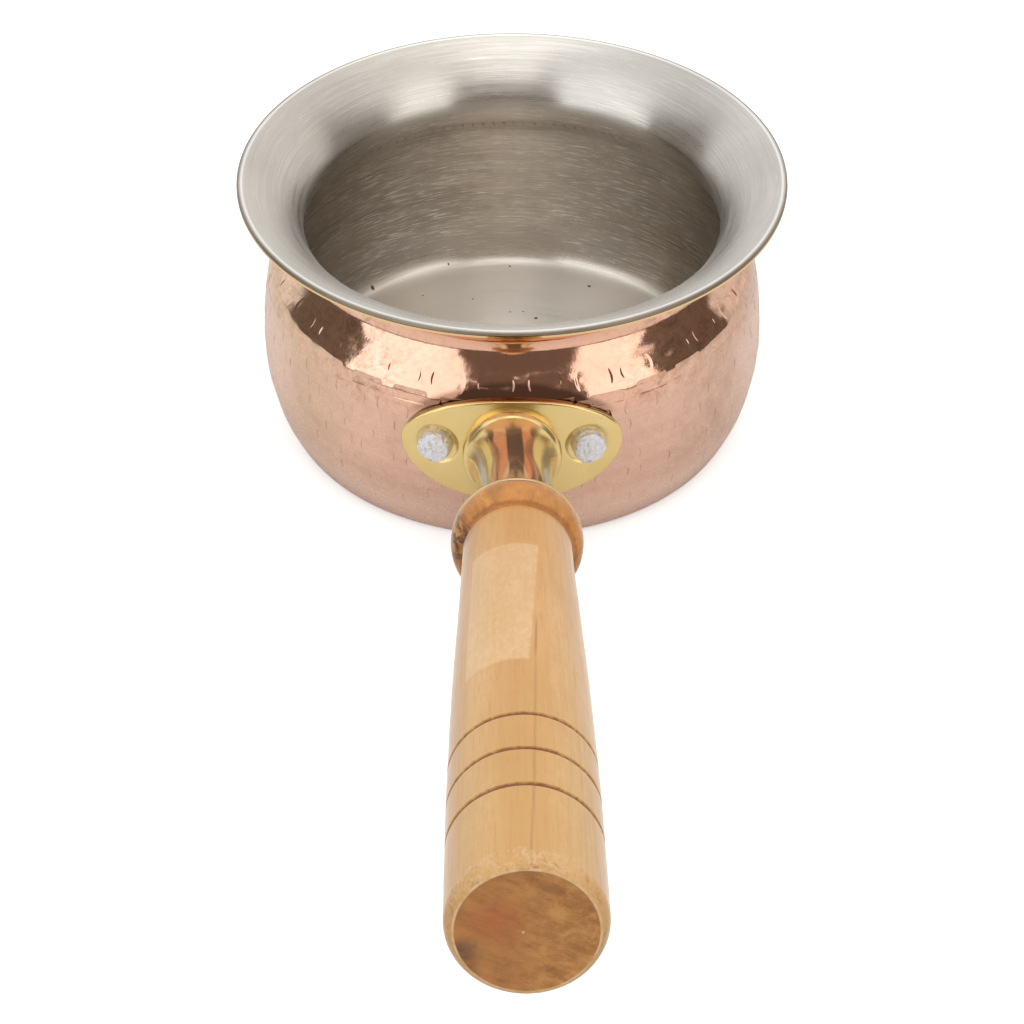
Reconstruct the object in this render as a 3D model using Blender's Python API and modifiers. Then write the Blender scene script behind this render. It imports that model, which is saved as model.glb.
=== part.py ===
"""Copper coffee pot with a steel lining, a riveted brass socket and a turned wooden handle.

The pot stands on the XY plane with its axis on Z. The handle leaves towards -Y and rises
away from the pot. Lengths are in metres.
"""

import math

import bpy
from mathutils import Euler, Matrix, Vector

# Sheet metal of the pot
RIM_RADIUS = 0.0600
RIM_UNDERSIDE = 0.0600
THROAT_RADIUS = 0.0474
THROAT_HEIGHT = 0.0495
SHOULDER_RADIUS = 0.0546
SHOULDER_HEIGHT = 0.0370
SHOULDER_LEAN = math.radians(11)
BELLY_RADIUS = 0.0563
BELLY_HEIGHT = 0.0205
HEEL_RADIUS = 0.0520
HEEL_HEIGHT = 0.0014
HEEL_LEAN = math.radians(27)
BASE_RADIUS = 0.0492
COPPER = 0.0006
STEEL = 0.0005
POT_STEPS = 48

# Clearance between touching pieces
GAP = 0.0003

# Handle line: where it meets the copper, and its rise
SOCKET_REACH = 0.0558
SOCKET_HEIGHT = 0.0287
HANDLE_RISE = math.radians(12.85)

# Brass mount
PLATE = 0.0020
PLATE_HALF_WIDTH = 0.0227
PLATE_HALF_HEIGHT = 0.0126
FOOT_RADIUS = 0.0104
FOOT_TOP = 0.0050
TUBE_RADIUS = 0.0078
TUBE_BORE = 0.0054
TUBE_END = 0.0393
TUBE_WEB = 0.0090

# Rivets through plate, copper and steel
RIVET_TURN = math.radians(16.0)
RIVET_HEIGHT = 0.0293
RIVET_SHANK = 0.0024
RIVET_TAIL_RADIUS = 0.0032
RIVET_TAIL = 0.0031
RIVET_HEAD_RADIUS = 0.0044
RIVET_HEAD = 0.0016

# Stud, washer and wood, measured along the handle line from the copper
STUD_RADIUS = 0.0030
STUD_START = 0.0240
STUD_END = 0.0780
FLANGE_RADIUS = 0.0128
WASHER = 0.0009
HANDLE_END = 0.1689
BEAD_RADIUS = 0.0130
BEAD_LENGTH = 0.0078
NECK_RADIUS = 0.0106
GRIP_RADIUS = 0.0129
END_FACE_RADIUS = 0.0115
END_ROUNDING = 0.0026
GROOVE_DEPTH = 0.0005
GROOVE_HALF_WIDTH = 0.00045
FIRST_GROOVE = 0.1261
GROOVE_PITCH = 0.0107
GROOVES = 3
HANDLE_STEPS = 32


def bezier(start, first, second, end, count):
    """Points of a cubic curve, without its start."""
    points = []
    for i in range(1, count + 1):
        t = i / count
        s = 1 - t
        points.append(
            Vector(start) * s**3
            + Vector(first) * (3 * s * s * t)
            + Vector(second) * (3 * s * t * t)
            + Vector(end) * t**3
        )
    return points


def pot_outline():
    """Outer surface of the copper as (radius, height), from the rim down to the base."""
    rim = Vector((RIM_RADIUS, RIM_UNDERSIDE))
    throat = Vector((THROAT_RADIUS, THROAT_HEIGHT))
    shoulder = Vector((SHOULDER_RADIUS, SHOULDER_HEIGHT))
    belly = Vector((BELLY_RADIUS, BELLY_HEIGHT))
    heel = Vector((HEEL_RADIUS, HEEL_HEIGHT))
    down_shoulder = Vector((math.sin(SHOULDER_LEAN), -math.cos(SHOULDER_LEAN)))
    down_heel = Vector((-math.sin(HEEL_LEAN), -math.cos(HEEL_LEAN)))
    points = [rim]
    points += bezier(rim, rim - Vector((0.0052, 0.0004)), throat + Vector((0, 0.0031)), throat, 6)
    points += bezier(throat, throat - Vector((0, 0.0052)), shoulder - down_shoulder * 0.0058, shoulder, 6)
    points += bezier(shoulder, shoulder + down_shoulder * 0.0055, belly + Vector((0, 0.0055)), belly, 3)
    points += bezier(belly, belly - Vector((0, 0.0070)), heel - down_heel * 0.0062, heel, 5)
    base = Vector((BASE_RADIUS, 0))
    points += bezier(heel, heel + down_heel * 0.0010, base + Vector((0.0016, 0)), base, 3)
    return points


def offset(outline, distance):
    """The outline moved towards the inside of the sheet."""
    moved = []
    for i, point in enumerate(outline):
        before = outline[max(i - 1, 0)]
        after = outline[min(i + 1, len(outline) - 1)]
        along = (after - before).normalized()
        if i == len(outline) - 1:
            along = Vector((-1, 0))
        moved.append(point + Vector((along.y, -along.x)) * distance)
    return moved


def wall_radius(height):
    """Radius of the copper's outer surface at a height between the base and the throat."""
    outline = [p for p in pot_outline() if p.y <= THROAT_HEIGHT]
    for upper, lower in zip(outline, outline[1:]):
        if lower.y <= height <= upper.y:
            share = (height - lower.y) / (upper.y - lower.y)
            return lower.x + (upper.x - lower.x) * share
    return BASE_RADIUS


def new_collection(name):
    collection = bpy.data.collections.new(name)
    bpy.context.scene.collection.children.link(collection)
    return collection


def material(name, colour, metallic, roughness):
    made = bpy.data.materials.new(name)
    made.use_nodes = True
    shader = made.node_tree.nodes["Principled BSDF"]
    shader.inputs["Base Color"].default_value = (*colour, 1)
    shader.inputs["Metallic"].default_value = metallic
    shader.inputs["Roughness"].default_value = roughness
    made.diffuse_color = (*colour, 1)
    return made


def turned(name, outline, closed, steps, collection):
    """A profile of (radius, height) turned about the object's own Z."""
    mesh = bpy.data.meshes.new(name)
    edges = [(i, i + 1) for i in range(len(outline) - 1)]
    if closed:
        edges.append((len(outline) - 1, 0))
    mesh.from_pydata([(p[0], 0, p[1]) for p in outline], edges, [])
    obj = bpy.data.objects.new(name, mesh)
    collection.objects.link(obj)
    screw = obj.modifiers.new("Turn", "SCREW")
    screw.steps = steps
    screw.render_steps = steps
    screw.use_merge_vertices = True
    screw.merge_threshold = 0.00001
    return obj


def thicken(obj, thickness):
    shell = obj.modifiers.new("Sheet", "SOLIDIFY")
    shell.thickness = thickness
    shell.offset = -1
    shell.use_even_offset = True


def cut(obj, cutter, operation="DIFFERENCE"):
    boolean = obj.modifiers.new(cutter.name, "BOOLEAN")
    boolean.operation = operation
    boolean.object = cutter


def hide(cutter):
    cutter.hide_render = True
    cutter.display_type = "WIRE"
    return cutter


def settle(obj, look):
    """Makes the modified mesh the object's own and shades it smooth up to its sharp edges."""
    bpy.context.view_layer.update()
    graph = bpy.context.evaluated_depsgraph_get()
    mesh = bpy.data.meshes.new_from_object(obj.evaluated_get(graph))
    obj.modifiers.clear()
    obj.data = mesh
    mesh.name = obj.name
    mesh.materials.clear()
    mesh.materials.append(look)
    mesh.shade_smooth()
    mesh.set_sharp_from_angle(angle=math.radians(30))


def make_handle_line(collection):
    """An empty on the handle's line, its Z running out along the handle."""
    line = bpy.data.objects.new("handle_line", None)
    collection.objects.link(line)
    line.location = (0, -SOCKET_REACH, SOCKET_HEIGHT)
    line.rotation_euler = (math.pi / 2 - HANDLE_RISE, 0, 0)
    return line


def rivet_frame(side):
    """Place of a rivet on the copper, its Z pointing straight out of the wall."""
    lean = math.atan2(wall_radius(RIVET_HEIGHT - 0.003) - wall_radius(RIVET_HEIGHT + 0.003), 0.006)
    turn = Matrix.Rotation(side * RIVET_TURN, 4, "Z")
    reach = Matrix.Translation((0, -wall_radius(RIVET_HEIGHT), RIVET_HEIGHT))
    return turn @ reach @ Euler((math.pi / 2 - lean, 0, 0)).to_matrix().to_4x4()


def make_copper_body(collection):
    body = turned("copper_outer_body", [*pot_outline(), Vector((0, 0))], False, POT_STEPS, collection)
    thicken(body, COPPER)
    return body


def make_steel_liner(collection):
    outline = offset(pot_outline(), COPPER + GAP)
    liner = turned(
        "steel_inner_liner", [*outline, Vector((0, outline[-1].y))], False, POT_STEPS, collection
    )
    thicken(liner, STEEL)
    return liner


def make_mount_plate(collection, cutters):
    """A ring that follows the wall, kept only inside an oval that runs along Y."""
    margin = PLATE_HALF_HEIGHT + 0.006
    band = [p for p in pot_outline() if abs(p.y - SOCKET_HEIGHT) < margin]
    outer = offset(band, -(GAP + PLATE))
    inner = offset(band, -GAP)
    plate = turned("brass_mount_plate", [*outer, *reversed(inner)], True, POT_STEPS, collection)
    bpy.ops.mesh.primitive_cylinder_add(
        vertices=48,
        radius=1,
        depth=0.030,
        location=(0, -SOCKET_REACH, SOCKET_HEIGHT),
        rotation=(math.pi / 2, 0, 0),
    )
    oval = bpy.context.object
    oval.name = "plate_oval"
    oval.scale = (PLATE_HALF_WIDTH, PLATE_HALF_HEIGHT, 1)
    bpy.ops.object.transform_apply(location=False, rotation=False, scale=True)
    move_to(oval, cutters)
    cut(plate, hide(oval), "INTERSECT")
    return plate


def make_ferrule_tube(collection, cutters, line):
    """Socket tube whose flared foot is cut to the curve of the plate."""
    outline = [
        Vector((STUD_RADIUS + GAP, TUBE_END)),
        Vector((TUBE_RADIUS - 0.0004, TUBE_END)),
        Vector((TUBE_RADIUS, TUBE_END - 0.0004)),
    ]
    flare = FOOT_RADIUS - TUBE_RADIUS
    outline += bezier(
        (TUBE_RADIUS, FOOT_TOP + 0.0075),
        (TUBE_RADIUS, FOOT_TOP + 0.0030),
        (TUBE_RADIUS + flare * 0.45, FOOT_TOP + 0.0003),
        (FOOT_RADIUS, FOOT_TOP - 0.0004),
        6,
    )
    outline.insert(3, Vector((TUBE_RADIUS, FOOT_TOP + 0.0075)))
    outline += [
        Vector((FOOT_RADIUS, -0.004)),
        Vector((TUBE_BORE, -0.004)),
        Vector((TUBE_BORE, TUBE_END - TUBE_WEB)),
        Vector((STUD_RADIUS + GAP, TUBE_END - TUBE_WEB)),
    ]
    tube = turned("brass_ferrule_tube", outline, True, HANDLE_STEPS, collection)
    tube.parent = line
    band = [p for p in pot_outline() if 0.008 < p.y < THROAT_HEIGHT - 0.001]
    face = offset(band, -(GAP + PLATE + GAP))
    core = [Vector((0, face[0].y)), *face, Vector((0, face[-1].y))]
    cutter = turned("plate_curve", core, False, POT_STEPS, cutters)
    cut(tube, hide(cutter))
    return tube


def make_rivet(name, side, collection):
    """Round rivet: low head inside the pot, shank, and an upset tail outside."""
    seat = GAP + PLATE + GAP + 0.0001
    tail = seat + RIVET_TAIL
    inside = -(COPPER + GAP + STEEL + 0.0005)
    outline = [
        Vector((0, tail)),
        Vector((RIVET_TAIL_RADIUS * 0.66, tail - 0.0001)),
        Vector((RIVET_TAIL_RADIUS - 0.0003, tail - 0.0005)),
        Vector((RIVET_TAIL_RADIUS, tail - 0.0011)),
        Vector((RIVET_TAIL_RADIUS, seat)),
        Vector((RIVET_SHANK, seat)),
        Vector((RIVET_SHANK, inside)),
        Vector((RIVET_HEAD_RADIUS, inside)),
        Vector((RIVET_HEAD_RADIUS, inside - 0.0004)),
        Vector((RIVET_HEAD_RADIUS * 0.78, inside - RIVET_HEAD * 0.72)),
        Vector((RIVET_HEAD_RADIUS * 0.42, inside - RIVET_HEAD * 0.94)),
        Vector((0, inside - RIVET_HEAD)),
    ]
    rivet = turned(name, outline, False, 20, collection)
    rivet.matrix_world = rivet_frame(side)
    return rivet


def drill_rivet_holes(pieces, cutters):
    for side, name in ((-1, "left_hole"), (1, "right_hole")):
        bpy.ops.mesh.primitive_cylinder_add(vertices=20, radius=RIVET_SHANK + GAP, depth=0.020)
        drill = bpy.context.object
        drill.name = name
        drill.matrix_world = rivet_frame(side)
        move_to(drill, cutters)
        hide(drill)
        for piece in pieces:
            cut(piece, drill)


def make_stud(collection, line):
    point = 0.0006
    outline = [
        Vector((0, STUD_END)),
        Vector((STUD_RADIUS - point, STUD_END)),
        Vector((STUD_RADIUS, STUD_END - point)),
        Vector((STUD_RADIUS, STUD_START + point)),
        Vector((STUD_RADIUS - point, STUD_START)),
        Vector((0, STUD_START)),
    ]
    stud = turned("handle_stud", outline, False, 20, collection)
    stud.parent = line
    return stud


def make_washer(collection, line):
    back = TUBE_END + GAP
    edge = 0.0002
    outline = [
        Vector((STUD_RADIUS + GAP, back + WASHER)),
        Vector((FLANGE_RADIUS - edge, back + WASHER)),
        Vector((FLANGE_RADIUS, back + WASHER - edge)),
        Vector((FLANGE_RADIUS, back + edge)),
        Vector((FLANGE_RADIUS - edge, back)),
        Vector((STUD_RADIUS + GAP, back)),
    ]
    washer = turned("brass_washer", outline, True, HANDLE_STEPS, collection)
    washer.parent = line
    return washer


def grip_radius(reach):
    """Radius of the wood between its neck and its far end, swelling and then running level."""
    start = TUBE_END + BEAD_LENGTH
    share = min((reach - start) / (HANDLE_END - 0.018 - start), 1)
    return NECK_RADIUS + (GRIP_RADIUS - NECK_RADIUS) * math.sin(share * math.pi / 2) ** 1.15


def handle_outline():
    """The wood from its far end back to the washer, with burnt grooves, neck and bead."""
    stop = HANDLE_END - END_ROUNDING
    round_end = bezier(
        (END_FACE_RADIUS, HANDLE_END),
        (END_FACE_RADIUS + 0.0008, HANDLE_END),
        (GRIP_RADIUS, stop + 0.0012),
        (GRIP_RADIUS, stop),
        4,
    )
    points = [Vector((0, HANDLE_END)), Vector((END_FACE_RADIUS, HANDLE_END)), *round_end]
    for i in reversed(range(GROOVES)):
        middle = FIRST_GROOVE + i * GROOVE_PITCH
        for shift, depth in ((1, 0), (0.45, 0.8), (-0.45, 0.8), (-1, 0)):
            reach = middle + shift * GROOVE_HALF_WIDTH
            points.append(Vector((grip_radius(reach) - depth * GROOVE_DEPTH, reach)))
    face = TUBE_END + GAP + WASHER + GAP
    neck = TUBE_END + BEAD_LENGTH
    for share in (0.80, 0.60, 0.42, 0.26, 0.12):
        reach = neck + (FIRST_GROOVE - neck) * share
        points.append(Vector((grip_radius(reach), reach)))
    points.append(Vector((NECK_RADIUS, neck + 0.0002)))
    points += bezier(
        (NECK_RADIUS, neck + 0.0002),
        (NECK_RADIUS + 0.0019, neck - 0.0005),
        (BEAD_RADIUS, face + 0.0042),
        (BEAD_RADIUS, face + 0.0017),
        5,
    )
    points += [
        Vector((FLANGE_RADIUS, face + 0.0003)),
        Vector((FLANGE_RADIUS - 0.0003, face)),
        Vector((STUD_RADIUS + GAP, face)),
        Vector((STUD_RADIUS + GAP, STUD_END + 0.0010)),
        Vector((0, STUD_END + 0.0022)),
    ]
    return points


def make_wooden_handle(collection, line):
    handle = turned("wooden_handle", handle_outline(), False, HANDLE_STEPS, collection)
    handle.parent = line
    return handle


def move_to(obj, collection):
    for owner in list(obj.users_collection):
        owner.objects.unlink(obj)
    collection.objects.link(obj)


def main():
    for obj in list(bpy.data.objects):
        bpy.data.objects.remove(obj)
    parts = new_collection("turkish_coffee_pot")
    cutters = new_collection("cutters")

    copper = material("copper", (0.76, 0.44, 0.31), 1, 0.22)
    steel = material("brushed_steel", (0.62, 0.59, 0.55), 1, 0.32)
    brass = material("brass", (0.80, 0.60, 0.28), 1, 0.25)
    aluminium = material("aluminium", (0.78, 0.78, 0.80), 1, 0.45)
    zinc = material("zinc_plated_steel", (0.55, 0.56, 0.58), 1, 0.35)
    beech = material("beech", (0.72, 0.42, 0.18), 0, 0.55)

    line = make_handle_line(parts)
    body = make_copper_body(parts)
    liner = make_steel_liner(parts)
    plate = make_mount_plate(parts, cutters)
    tube = make_ferrule_tube(parts, cutters, line)
    left = make_rivet("rivet_left", -1, parts)
    right = make_rivet("rivet_right", 1, parts)
    stud = make_stud(parts, line)
    washer = make_washer(parts, line)
    handle = make_wooden_handle(parts, line)
    drill_rivet_holes((body, liner, plate), cutters)

    looks = {
        body: copper,
        liner: steel,
        plate: brass,
        tube: brass,
        left: aluminium,
        right: aluminium,
        stud: zinc,
        washer: brass,
        handle: beech,
    }
    for piece, look in looks.items():
        settle(piece, look)


main()
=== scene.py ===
"""Studio picture of a hammered copper coffee pot with a steel lining and a turned wooden handle."""

import math

import bpy
import numpy as np
from mathutils import Euler, Matrix, Vector


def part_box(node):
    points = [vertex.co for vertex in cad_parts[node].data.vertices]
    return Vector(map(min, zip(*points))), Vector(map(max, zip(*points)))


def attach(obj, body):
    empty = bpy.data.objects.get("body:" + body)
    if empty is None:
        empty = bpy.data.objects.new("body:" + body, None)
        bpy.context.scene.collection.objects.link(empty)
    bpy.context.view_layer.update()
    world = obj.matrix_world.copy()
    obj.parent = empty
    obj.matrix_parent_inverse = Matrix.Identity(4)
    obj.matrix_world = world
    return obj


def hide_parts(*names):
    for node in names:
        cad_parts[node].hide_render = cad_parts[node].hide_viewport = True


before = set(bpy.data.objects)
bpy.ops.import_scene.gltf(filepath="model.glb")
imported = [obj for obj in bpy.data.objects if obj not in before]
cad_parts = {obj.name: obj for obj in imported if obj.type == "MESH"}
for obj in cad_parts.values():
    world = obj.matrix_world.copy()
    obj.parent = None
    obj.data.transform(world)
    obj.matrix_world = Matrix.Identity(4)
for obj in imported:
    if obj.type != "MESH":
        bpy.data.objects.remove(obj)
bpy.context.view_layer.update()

# The pot's own sizes, in metres, as (radius, height) on its turned wall.
_, copper_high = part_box("copper_outer_body")
_, liner_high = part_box("steel_inner_liner")
RIM_HEIGHT = 0.0600
RIM = np.array((copper_high.x, RIM_HEIGHT))
THROAT = np.array((0.0474, 0.0495))
SHOULDER = np.array((0.0546, 0.0370))
BELLY = np.array((0.0563, 0.0205))
HEEL = np.array((0.0520, 0.0014))
BASE = np.array((0.0492, 0.0))
SHOULDER_LEAN = math.radians(11)
HEEL_LEAN = math.radians(27)
COPPER = 0.0006
LIP = liner_high.z - RIM_HEIGHT

# The handle's line leaves the copper here and rises. Places along it are measured from there.
RISE = math.radians(12.85)
SOCKET = Vector((0, -0.0558, 0.0287))
handle_line = Matrix.Translation(SOCKET) @ Euler((math.pi / 2 - RISE, 0, 0)).to_matrix().to_4x4()
FACE = 0.0408
GRIP_START = 0.0471
GROOVES = (0.1261, 0.1368, 0.1475)
HANDLE_END = 0.1689
FLANGE_RADIUS = 0.0130
NECK_RADIUS = 0.0106
GRIP_RADIUS = 0.0129
GROOVE_DEPTH = 0.0006
STUD_BORE = 0.0034

# The plate and its rivets, which sit a little to one side of that line.
MOUNT_TURN = math.radians(-0.6)
PLATE_WIDTH, PLATE_HEIGHT = 0.0227, 0.0126
PLATE_MIDDLE = SOCKET.z
PLATE_FRONT = 0.0022
PLATE_BEVEL = 0.0007
PLATE_POWER = 0.97
RIVET_HEIGHT = 0.0293
RIVET_SIDE = 0.0151
RIVET_ANGLE = math.radians(16)
BRASS = ((0.84, 0.63, 0.27), (0.87, 0.67, 0.31))

# Hammer marks: the gap is half of one, in degrees, and the height half of a mark's.
MARKS_IN_A_ROW = 32
MARK_GAP = 1.55
MARK_HEIGHT = 0.00125
MARK_DEPTH = 0.00016
LINER_MARK_DEPTH = 0.00006

# Points round each of the finer pieces.
COPPER_COLUMNS = 2048
LINER_COLUMNS = 1024
PLATE_COLUMNS = 320


# ---------------------------------------------------------------- geometry

def bezier(start, first, second, end, count):
    t = np.linspace(0, 1, count + 1)[1:, None]
    s = 1 - t
    start, first, second, end = (np.array(p, float) for p in (start, first, second, end))
    return start * s**3 + first * 3 * s * s * t + second * 3 * s * t * t + end * t**3


def wall_outline():
    """Outer wall of the copper from the rim down to the edge of the base."""
    down_shoulder = np.array((math.sin(SHOULDER_LEAN), -math.cos(SHOULDER_LEAN)))
    down_heel = np.array((-math.sin(HEEL_LEAN), -math.cos(HEEL_LEAN)))
    up = np.array((0, 1))
    return np.vstack([
        RIM[None],
        bezier(RIM, RIM - (0.0052, 0.0004), THROAT + up * 0.0031, THROAT, 80),
        bezier(THROAT, THROAT - up * 0.0052, SHOULDER - down_shoulder * 0.0058, SHOULDER, 80),
        bezier(SHOULDER, SHOULDER + down_shoulder * 0.0055, BELLY + up * 0.0055, BELLY, 60),
        bezier(BELLY, BELLY - up * 0.0070, HEEL - down_heel * 0.0062, HEEL, 80),
        bezier(HEEL, HEEL + down_heel * 0.0010, BASE + (0.0016, 0), BASE, 24),
    ])


def outward(outline):
    """Unit normals of an outline that runs down the outer side."""
    along = np.gradient(outline, axis=0)
    along /= np.linalg.norm(along, axis=1)[:, None]
    return np.c_[-along[:, 1], along[:, 0]]


def arc_of(outline):
    return np.r_[0, np.cumsum(np.linalg.norm(np.diff(outline, axis=0), axis=1))]


def resample(outline, arcs):
    own = arc_of(outline)
    return np.c_[np.interp(arcs, own, outline[:, 0]), np.interp(arcs, own, outline[:, 1])]


def smooth(low, high, x):
    t = np.clip((x - low) / (high - low), 0, 1)
    return t * t * (3 - 2 * t)


def ripple(u, v, cells_u, cells_v, seed):
    """Smooth noise between -1 and 1.

    u runs from 0 to 1 round the piece and joins up, v from 0 to 1 down it."""
    lattice = np.random.RandomState(seed).uniform(-1, 1, (cells_v + 3, cells_u))
    u, v = np.broadcast_arrays(np.mod(u, 1) * cells_u, np.clip(v, 0, 1) * cells_v)
    i, j = np.floor(u).astype(int), np.floor(v).astype(int)
    a, b = u - i, v - j
    a, b = a**3 * (a * (6 * a - 15) + 10), b**3 * (b * (6 * b - 15) + 10)
    i, n = i % cells_u, (i + 1) % cells_u
    low = lattice[j, i] * (1 - a) + lattice[j, n] * a
    high = lattice[j + 1, i] * (1 - a) + lattice[j + 1, n] * a
    return low * (1 - b) + high * b


def mesh_object(name, vertices, quads, triangles=(), place=None):
    quads = np.asarray(quads, int).reshape(-1, 4)
    triangles = np.asarray(triangles, int).reshape(-1, 3)
    mesh = bpy.data.meshes.new(name)
    mesh.vertices.add(len(vertices))
    mesh.vertices.foreach_set("co", np.asarray(vertices, np.float32).ravel())
    loops = np.r_[quads.ravel(), triangles.ravel()]
    mesh.loops.add(len(loops))
    mesh.loops.foreach_set("vertex_index", loops)
    sizes = np.r_[np.full(len(quads), 4), np.full(len(triangles), 3)]
    mesh.polygons.add(len(sizes))
    mesh.polygons.foreach_set("loop_start", np.r_[0, np.cumsum(sizes)[:-1]])
    mesh.update(calc_edges=True)
    mesh.validate()
    mesh.shade_smooth()
    made = bpy.data.objects.new(name, mesh)
    if place is not None:
        made.matrix_world = place
    bpy.context.scene.collection.objects.link(made)
    return made


def revolved(name, rings, place=None, sharp=None, closed=False):
    """A round piece through rings of points, an array of shape (rings, columns, 3).

    The rings run down the outer side first. An open piece is closed by two points, one in the
    middle of its first and one in the middle of its last ring."""
    count, columns = rings.shape[:2]
    vertices = rings.reshape(-1, 3)
    steps = count if closed else count - 1
    i = (np.arange(steps) * columns)[:, None]
    below = ((np.arange(steps) + 1) % count * columns)[:, None]
    j = np.arange(columns)[None]
    n = (j + 1) % columns
    quads = np.stack([i + j, below + j, below + n, i + n], -1)
    triangles = []
    if not closed:
        vertices = np.vstack([vertices, rings[0].mean(0), rings[-1].mean(0)])
        top, bottom = len(vertices) - 2, len(vertices) - 1
        j, n = j.ravel(), n.ravel()
        last = (count - 1) * columns
        triangles = np.vstack([
            np.c_[np.full(columns, top), j, n],
            np.c_[np.full(columns, bottom), last + n, last + j],
        ])
    made = mesh_object(name, vertices, quads, triangles, place)
    if sharp:
        made.data.set_sharp_from_angle(angle=math.radians(sharp))
    return made


def turn(outline, columns, radial=0, lift=0):
    """Rings of points of an outline turned about Z.

    radial and lift move each point. They are arrays of shape (rings, columns)."""
    angle = np.arange(columns) / columns * 2 * math.pi
    radius = outline[:, :1] + radial
    height = outline[:, 1:] + lift + np.zeros((1, columns))
    # Angle 0 faces -Y, and angles grow towards +X.
    return np.stack([radius * np.sin(angle), -radius * np.cos(angle), height], -1)


def turn_end_on(outline, columns, radial=0, lift=0):
    """The same for a piece that points outwards: x to the right, y up, z out along its middle."""
    rings = turn(outline, columns, radial, lift)
    return np.stack([rings[..., 0], -rings[..., 1], rings[..., 2]], -1)[:, ::-1]


def finish_piece(piece, look, node):
    piece.data.materials.clear()
    piece.data.materials.append(look)
    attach(piece, "root")
    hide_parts(node)


def store(piece, name, values):
    """Keeps one value for each point. Points at the end that are given none get 0."""
    given = np.ravel(values)
    full = np.zeros(len(piece.data.vertices), np.float32)
    full[:len(given)] = given
    attribute = piece.data.attributes.new(name, "FLOAT", "POINT")
    attribute.data.foreach_set("value", full)


# ---------------------------------------------------------------- materials

class Wire:
    """One output of a node. Arithmetic on it adds Math nodes, and | takes the larger of two."""

    def __init__(self, graph, socket):
        self.graph = graph
        self.socket = socket

    def __add__(self, other):
        return self.graph.math("ADD", self, other)

    def __sub__(self, number):
        return self.graph.math("ADD", self, -number)

    def __mul__(self, other):
        return self.graph.math("MULTIPLY", self, other)

    def __pow__(self, power):
        return self.graph.math("POWER", self, power)

    def __or__(self, other):
        return self.graph.math("MAXIMUM", self, other)

    def __abs__(self):
        return self.graph.math("ABSOLUTE", self)

    def step(self, low, high, to_low=0.0, to_high=1.0):
        """Runs smoothly from to_low to to_high while this value runs from low to high."""
        ramp = self.graph.node("MapRange", interpolation_type="SMOOTHSTEP")
        self.graph.fill(
            ramp, Value=self, From_Min=low, From_Max=high, To_Min=to_low, To_Max=to_high
        )
        return Wire(self.graph, ramp.outputs[0])

    def within(self, low, high, soft):
        """1 between low and high, falling to 0 over soft on both sides."""
        return self.step(low - soft, low + soft) * self.step(high + soft, high - soft)

    def split(self):
        made = self.graph.node("SeparateXYZ", self)
        return tuple(Wire(self.graph, socket) for socket in made.outputs)

    def scaled(self, x, y, z):
        return self.graph.output("VectorMath", self, (x, y, z), operation="MULTIPLY")


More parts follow.
